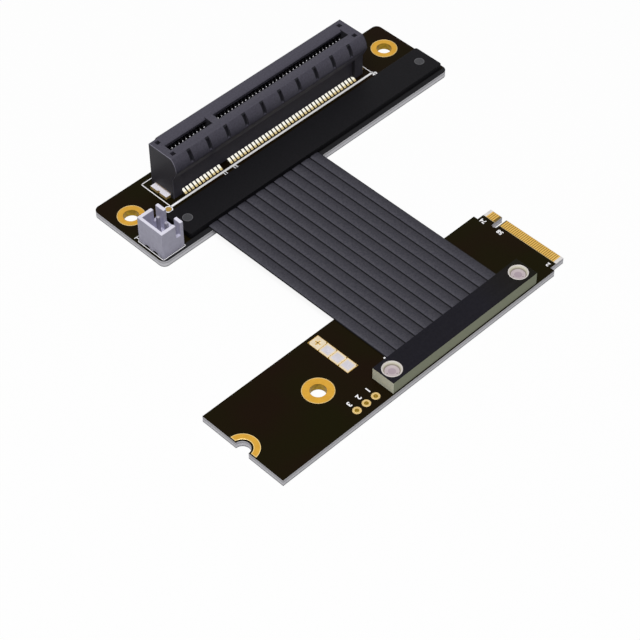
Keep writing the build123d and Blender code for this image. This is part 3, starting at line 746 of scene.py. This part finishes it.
# %% Rows of contacts
contact_pitch, first_contact, before_key, after_key, key_gap = 1.0 * MM, 3.0 * MM, 11, 38, 3.0 * MM
first_place = housing_low.x + first_contact
contact_places = np.concatenate([
    first_place + np.arange(before_key) * contact_pitch,
    first_place + (before_key - 1) * contact_pitch + key_gap + np.arange(after_key) * contact_pitch,
])
board_top_z = slot_high.z
print("contact places:", len(contact_places), "from", round(first_place / MM, 2), "mm")


# %% Sections along a bar, repeated along a row
def bar_sections(inner, outer, half_width):
    """Four corners for each section: -x and +x of the inner line, then +x and -x of the outer line."""
    inner, outer, half = (np.asarray(v, dtype=float) for v in (inner, outer, half_width))
    left, right = -half[:, None], half[:, None]
    return np.stack([np.hstack([left, inner]), np.hstack([right, inner]),
                     np.hstack([right, outer]), np.hstack([left, outer])], axis=1)


def contact_row(name, sections, side, finish):
    """Repeats the sections at every place of the row; out from the slot's middle is the side times y."""
    one = np.zeros((*sections.shape[:2], 3))
    one[..., 0] = sections[..., 0]
    one[..., 1] = slot_middle + side * sections[..., 1] * MM
    one[..., 2] = board_top_z + sections[..., 2] * MM
    rows = len(one)
    points = one.reshape(1, -1, 3) + np.stack(
        [contact_places, 0 * contact_places, 0 * contact_places], axis=1)[:, None, :]
    face = np.concatenate([grid_faces(rows, 4, round_columns=True), [[0, 1, 2, 3]],
                           [[4 * rows - 4, 4 * rows - 3, 4 * rows - 2, 4 * rows - 1]]])
    faces = (face[None] + 4 * rows * np.arange(len(contact_places))[:, None, None]).reshape(-1, 4)
    piece = add_piece(name, points, faces)
    piece.data.materials.append(finish)
    return piece


# %% Sections of a spring, a tail and a touch point
# Places are (out from the slot's middle, height over the board) in mm.
spring_line = np.array([(2.0, 0.1), (2.0, 3.2), (2.0, 6.3), (1.78, 6.95), (1.36, 7.8), (1.0, 8.5),
                        (0.87, 8.85), (0.88, 9.1), (1.0, 9.35), (1.18, 9.6)])
spring_side = np.array([(-0.1, 0), (-0.1, 0), (-0.1, 0), (-0.09, -0.04), (-0.09, -0.05), (-0.1, -0.03),
                        (-0.1, 0), (-0.1, 0.03), (-0.09, 0.05), (-0.08, 0.06)])
spring_half = np.array([0.26, 0.26, 0.26, 0.24, 0.2, 0.16, 0.15, 0.15, 0.14, 0.12]) * MM
spring = bar_sections(spring_line + spring_side, spring_line - spring_side, spring_half)
tail_out = np.array([2.0, 2.6, 2.76, 2.85, 2.93, 3.28, 3.64, 4.0, 4.13, 4.2])
tail_top = np.array([0.2, 0.2, 0.56, 0.78, 0.81, 0.61, 0.41, 0.21, 0.12, 0.02])
tail_half = np.array([0.26, 0.26, 0.31, 0.33, 0.33, 0.33, 0.33, 0.32, 0.3, 0.26]) * MM
tail = bar_sections(np.stack([tail_out, 0 * tail_out], axis=1), np.stack([tail_out, tail_top], axis=1),
                    tail_half)
crest_line = np.array([(0.93, 8.84), (0.74, 8.92), (0.7, 9.06), (0.76, 9.2), (0.95, 9.28)])
crest_half = np.array([0.06, 0.13, 0.15, 0.13, 0.06]) * MM
crest_thick = np.array([0.12, 0.0])
crest = bar_sections(crest_line, crest_line + crest_thick, crest_half)
print("sections:", len(spring), "in a spring,", len(tail), "in a tail,", len(crest), "in a touch point")

# %% Contact finishes
# Springs: dull alloy, painted near black as painted shade in the slit.
spring_painted_shade = grained_finish("spring_alloy_painted_as_shade", 0.6, 0.4 * MM, "#29282c", "#201f23",
                              specular=0.1)
# Tails: bright fresh solder that thins out to tan at the cut end.
tail_solder, tree, shader, place = new_finish("solder_on_a_tinned_tail", 0.2, metallic=1.0)
away = maths(tree, "ABSOLUTE", maths(tree, "SUBTRACT", parts(tree, place)[1], slot_middle))
away = part_way(tree, away, tail_out[1] * MM, tail_out[-1] * MM)
tree.links.new(colour_run(tree, away, [
    (0.0, "#fffdf4"), (0.6, "#fffcee"), (0.74, "#dccb9c"), (1.0, "#bfa669"),
]), shader.inputs["Base Color"])
# Touch points: painted white, as a painted highlight on each crest.
crest_painted_highlight = grained_finish("touch_point_painted_highlight", 0.3, 0.2 * MM, "#ffffff", "#f0eef4", specular=0.6)

# %% The two rows
for node_name, side in (("slot_contacts_front", -1), ("slot_contacts_back", 1)):
    end = node_name.split("_")[-1]
    springs = contact_row(f"contact_springs_{end}", spring, side, spring_painted_shade)
    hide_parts(node_name)
    contact_row(f"contact_tails_{end}", tail, side, tail_solder)
    contact_row(f"contact_crests_{end}", crest, side, crest_painted_highlight)
print("contacts:", 2 * len(contact_places))

# %% [markdown]
# ## Hold-down clips
# The two clips are cut from thicker sheet: the upper face is bright tin, and the sheared edges show the
# gold-coloured alloy. The face's own direction tells the two apart.

# %% Clip finish
# Tin as it comes from the bath, bright white, and bare brass-coloured alloy where the shears cut.
clip_alloy, tree, shader, place = new_finish("tinned_clip_with_sheared_edges", 0.4, metallic=0.05)
clip_tin = grain(tree, shader, place, 0.7 * MM, "#fbf8ff", "#f2effa")
tree.links.new(over(tree, level_face(tree), "#cdb06e", clip_tin), shader.inputs["Base Color"])

# %% [markdown]
# ## Tinned squares
# The long pad on the plug board carries four squares of solder, level and slightly domed, with gold left
# showing between them. A dome is a square grid whose height falls off towards all four sides.

# %% Domed solder squares
def domes(name, centres, half_x, half_y, base, height, finish, count=9):
    """A grid over a square: z is the base plus the height times (1 - u^6)(1 - v^6), u and v from -1 to 1.
    The same grid a little below the base closes it."""
    u, v = np.meshgrid(np.linspace(-1, 1, count), np.linspace(-1, 1, count), indexing="ij")
    dome = base + height * (1 - u**6) * (1 - v**6)
    top = np.stack([u * half_x, v * half_y, dome], axis=-1).reshape(-1, 3)
    low = top.copy()
    low[:, 2] = base - 0.01 * MM
    face = grid_faces(count, count)
    size = count * count
    index = np.arange(size).reshape(count, count)
    border = np.concatenate([index[0, :-1], index[:-1, -1], index[-1, :0:-1], index[:0:-1, 0]])
    after = np.roll(border, -1)
    wall = np.stack([border, after, after + size, border + size], axis=1)
    one_faces = np.concatenate([face, face + size, wall])
    points = np.concatenate([np.concatenate([top, low]) + np.array([x, y, 0]) for x, y in centres])
    faces = np.concatenate([one_faces + 2 * size * i for i in range(len(centres))])
    piece = add_piece(name, points, faces)
    piece.data.materials.append(finish)
    return piece


# %% Squares on the long pad
pad_low, pad_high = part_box("m2_pad_strip")
pad_x = (pad_low.x + pad_high.x) / 2
pad_margin, dome_height, border_gap, square_gap = 0.05 * MM, 0.02 * MM, 0.07 * MM, 0.36 * MM
pad_pitch = (pad_high.y - pad_low.y - 2 * pad_margin) / 4
pad_centres = [(pad_x, pad_low.y + pad_margin + (i + 0.5) * pad_pitch) for i in range(4)]
# Thick tin is grey-white and soft, and where it thins out over the gold it looks cream.
square_tin = grained_finish("tinned_pad_square", 0.45, 1.5 * MM, "#d9d5dc", "#cfcbd1", metallic=0.1)
cream_tin = grained_finish("thin_tin_over_gold", 0.45, 1.0 * MM, "#ebdcc0", "#e2d0b0", metallic=0.1)
domes("pad_squares", pad_centres[:3], 0.95 * MM, pad_pitch / 2 - square_gap, pad_high.z + dome_height,
      dome_height, square_tin)
domes("pad_borders", pad_centres, 1.36 * MM, pad_pitch / 2 - border_gap, pad_high.z,
      dome_height, cream_tin)

# %% [markdown]
# ## Printing
# The white lines and numbers are silkscreen ink, two hundredths of a millimetre thick. Lines are thin
# slabs. The boards carry plain numbers that count the contacts and the holes. Numbers start as text
# curves, become a mesh, and are turned and moved as arrays.

# %% Ink
# Silkscreen ink: opaque white, matt, with a barely uneven film.
ink = grained_finish("white_silkscreen_ink", 0.6, 0.3 * MM, "#ffffff", "#f8f6fa", detail=2.0, specular=0.2)
ink_thick = 0.02 * MM


# %% Printed lines and numbers as meshes
def printed_lines(name, lines, base):
    """Each line is (x0, y0, x1, y1, width) in mm: a slab along the line, half the width to each side."""
    lines = np.asarray(lines, dtype=float) * MM
    start, end, half = lines[:, 0:2], lines[:, 2:4], lines[:, 4:5] / 2
    along = (end - start) / np.linalg.norm(end - start, axis=1, keepdims=True)
    aside = np.stack([-along[:, 1], along[:, 0]], axis=1) * half
    start, end = start - along * half, end + along * half
    ring = np.stack([start - aside, end - aside, end + aside, start + aside], axis=1)
    low = np.concatenate([ring, np.full((len(ring), 4, 1), base)], axis=2)
    high = low + np.array([0, 0, ink_thick])
    points = np.concatenate([low, high], axis=1)
    box = np.array([[0, 1, 2, 3], [4, 5, 6, 7], [0, 1, 5, 4], [1, 2, 6, 5], [2, 3, 7, 6], [3, 0, 4, 7]])
    faces = (box[None] + 8 * np.arange(len(lines))[:, None, None]).reshape(-1, 4)
    piece = add_piece(name, points, faces)
    piece.data.materials.append(ink)
    return piece


def printed_numbers(name, labels, base):
    """Each label is (text, x, y, height, turn): the text's outline as a thin mesh, whose points are turned
    about z by the turn in degrees and then moved to x, y in mm."""
    points, faces, count = [], [], 0
    for text, x, y, height, turn in labels:
        curve = bpy.data.curves.new(name, "FONT")
        curve.body = text
        curve.size = height * MM
        curve.align_x, curve.align_y = "CENTER", "CENTER"
        curve.offset = 0.03 * height * MM
        curve.extrude = ink_thick / 2
        curve.resolution_u = 3
        holder = bpy.data.objects.new(name, curve)
        flat = bpy.data.meshes.new_from_object(holder)
        corners = np.array([v.co for v in flat.vertices])
        cos, sin = math.cos(math.radians(turn)), math.sin(math.radians(turn))
        corners = corners @ np.array([[cos, sin, 0], [-sin, cos, 0], [0, 0, 1]])
        points.append(corners + np.array([x * MM, y * MM, base + ink_thick / 2]))
        faces += [[i + count for i in f.vertices] for f in flat.polygons]
        count += len(corners)
        bpy.data.objects.remove(holder)
    piece = add_piece(name, np.concatenate(points), faces)
    piece.data.materials.append(ink)
    return piece


# %% Printing on the slot board
header_low, header_high = (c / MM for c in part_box("header_housing"))
gap = 0.16
left, right = header_low.x - gap, header_high.x + gap
front, back = header_low.y - gap, header_high.y + gap
slot_front, slot_back = 28.775, 38.075
slot_left, slot_right = -19.175, 40.425
foot_left, foot_right, foot_y = -30.68, -29.7, 27.14
bold, fine, thin = 0.52, 0.2, 0.16
printed_lines("slot_board_print", [
    (slot_left + fine, slot_front, slot_right, slot_front, bold),
    (slot_left, slot_front, slot_left, slot_back, fine),
    (slot_left, slot_back, slot_right, slot_back, fine),
    (slot_right, slot_front, slot_right, slot_back, fine),
    (left, front, right, front, thin), (left, front, left, back, thin),
    (right, front, right, back, thin), (left, back, right, back, thin),
    (foot_left, foot_y, foot_right, foot_y, thin),
], board_top_z)
corner_low, corner_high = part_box("corner_pad")
corner = ((corner_low.x + corner_high.x) / 2, (corner_low.y + corner_high.y) / 2)
circle_inner, circle_outer = 0.72 * MM, 0.97 * MM
ink_base, ink_top = board_top_z - 0.002 * MM, board_top_z + ink_thick
turned("corner_pad_circle", [
    (circle_inner, ink_base), (circle_outer, ink_base), (circle_outer, ink_top), (circle_inner, ink_top),
], [corner], ink, sides=40)
printed_numbers("slot_board_numbers", [
    ("11", -4.3, 28.05, 1.15, 0), ("12", -1.5, 28.05, 1.15, 0), ("49", 40.6, 28.05, 1.3, 0),
    ("1", -30.2, 26.58, 1.35, 180),
], board_top_z)

# %% Printing on the plug board
hole_x, number_y = [x / MM for x, y in small_holes], -35.2
printed_numbers("plug_board_numbers", [
    ("74", 23.365, -19.885, 1.4, 90), ("58", 23.405, -24.525, 1.4, 90), ("2", 23.445, -37.565, 1.4, 90),
    ("3", hole_x[0], number_y, 1.7, 180), ("2", hole_x[1], number_y, 1.7, 180),
    ("1", hole_x[2], number_y, 1.7, 180),
], m2_high.z)
dot_place, dot_radius, dot_top = (-17.975 * MM, -31.825 * MM), 0.26 * MM, m2_high.z + ink_thick
turned("plug_board_dot", [
    (0, m2_high.z), (dot_radius, m2_high.z), (dot_radius, dot_top), (0, dot_top),
], [dot_place], ink, sides=20)
plus_x, plus_y, arm, stroke = pad_centres[3][0] / MM, pad_centres[3][1] / MM, 0.55, 0.3
plus = printed_lines("pad_plus", [
    (plus_x - arm, plus_y, plus_x + arm, plus_y, stroke),
    (plus_x, plus_y - arm, plus_x, plus_y + arm, stroke),
], pad_high.z + 0.015 * MM)
plus.data.materials[0] = small_gold

# %% [markdown]
# ## Finishes for the other CAD solids
# The remaining solids keep their CAD shape and get their finish here.

# %% Give the CAD nodes their finishes
def dress(names, finish):
    """Puts one finish on each named node."""
    for name in names:
        nodes[name].data.materials.clear()
        nodes[name].data.materials.append(finish)
    print(finish.name, "on", ", ".join(names))


dress(["m2_board", "slot_board"], mask)
dress(["m2_hole_ring", "slot_board_rings", "solder_pads_m2", "solder_pads_slot"], gold)
dress(["m2_fingers_top", "m2_fingers_bottom"], finger_gold)
dress(["corner_pad", "m2_pad_strip"], small_gold)
dress(["m2_small_rings"], painted_reflection_gold)
dress(["slot_hold_downs"], clip_alloy)
dress(["header_pins"], pin_tin)
dress(["cover_studs"], stud_nylon)
dress(["wire_ends_m2", "wire_ends_slot"], wire_copper)
